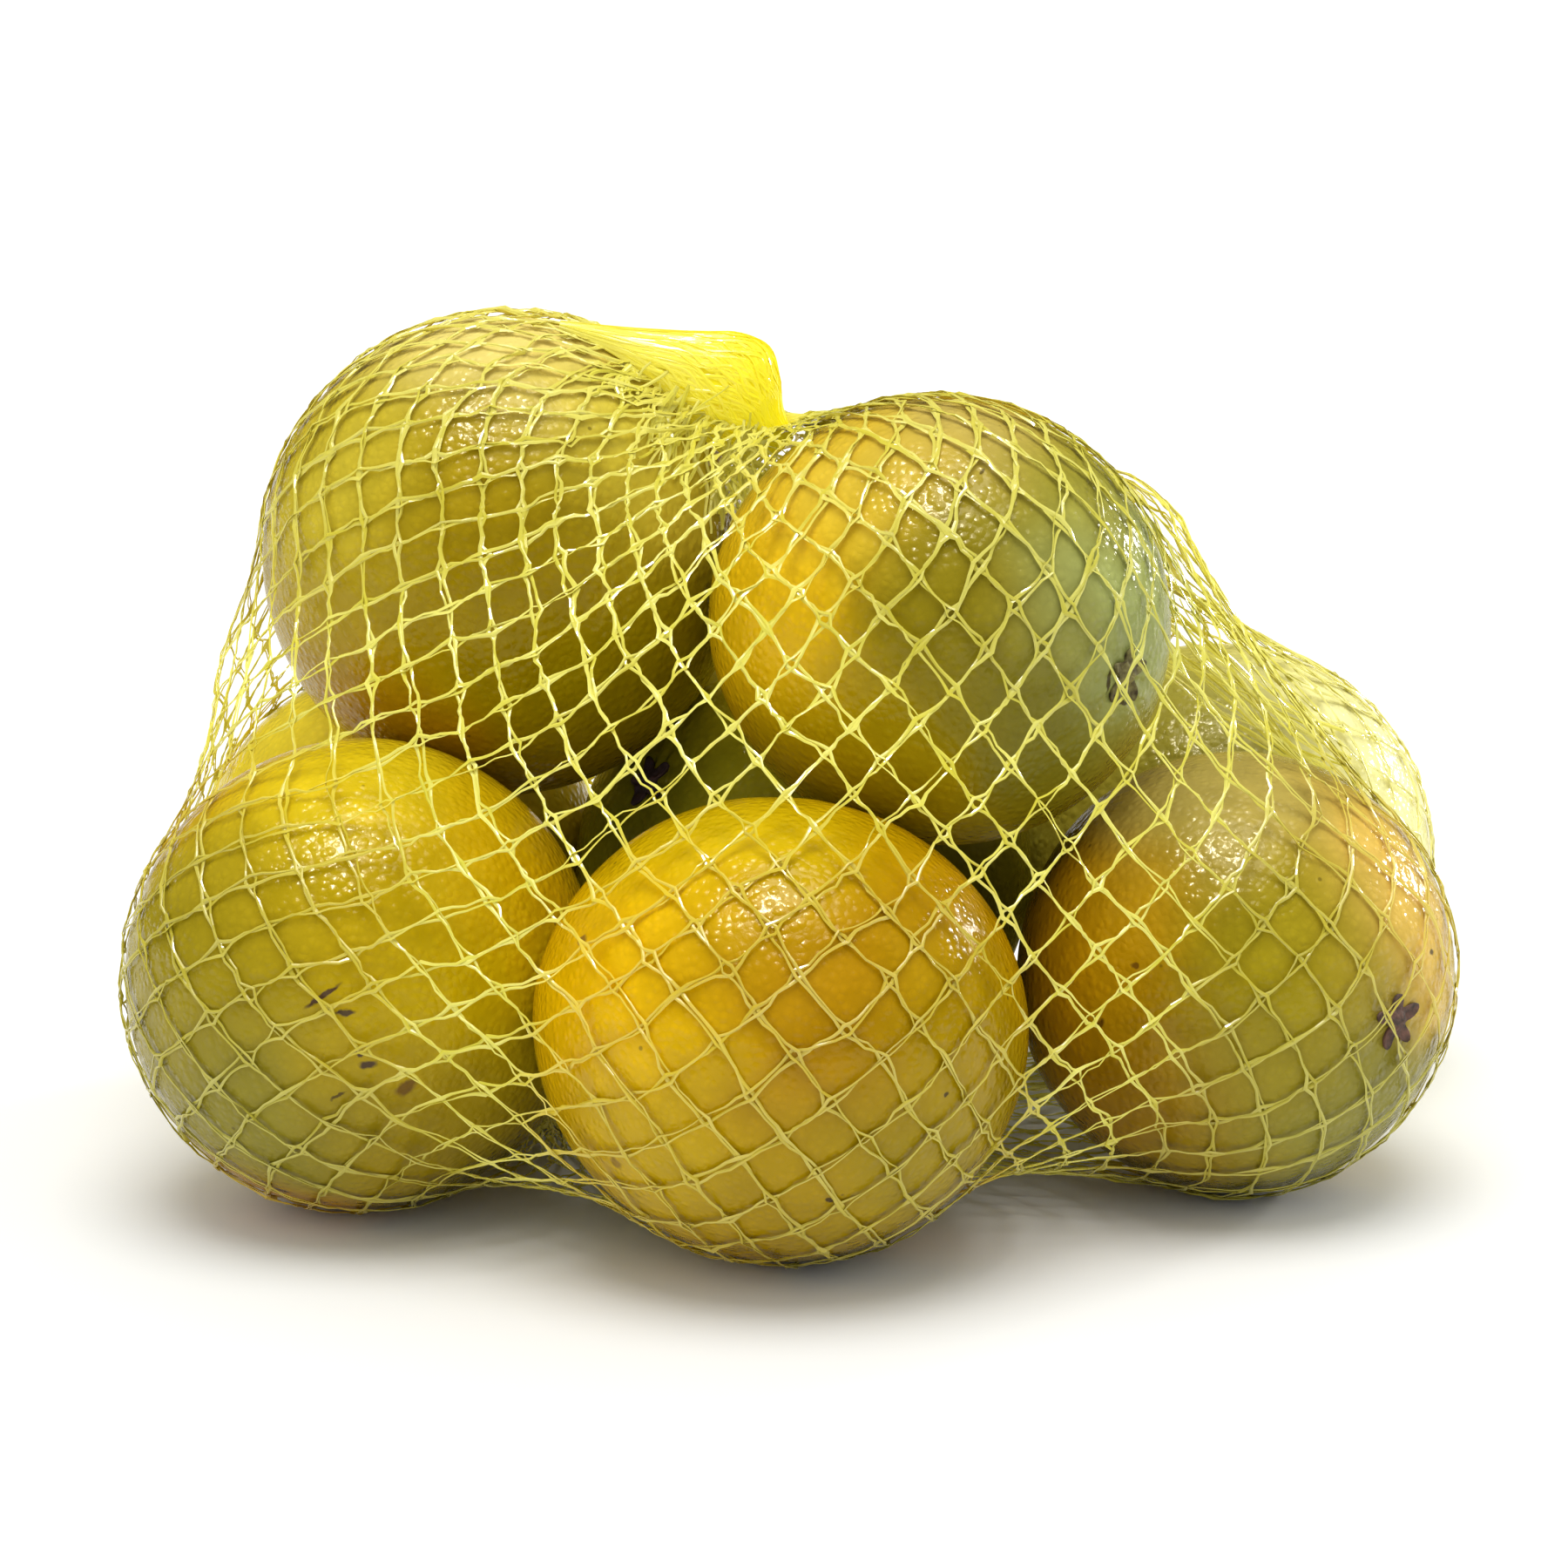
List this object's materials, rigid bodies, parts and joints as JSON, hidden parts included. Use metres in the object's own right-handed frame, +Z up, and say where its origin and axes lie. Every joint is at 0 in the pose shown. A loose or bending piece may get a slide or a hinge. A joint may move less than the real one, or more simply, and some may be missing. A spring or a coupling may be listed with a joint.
{
  "type": "net of oranges",
  "caption": "Heap of oranges drawn tight in a yellow knitted net that is gathered to a neck and a short bunched tail on top.",
  "frame": {"origin": "on the surface that the net lies on, under the middle of its box", "axes": "+X to the right as seen from the front, along the longest side; +Y from front to back; +Z up"},
  "size_m": [0.2225, 0.1829, 0.14],
  "materials": {
    "net": "knitted yellow polyethylene strands, translucent and glossy",
    "peel": "waxy pored citrus peel, green through yellow to orange",
    "stem": "dry brown stem end"
  },
  "bodies": {
    "root": {"orange_net": "net"}
  },
  "joints": []
}
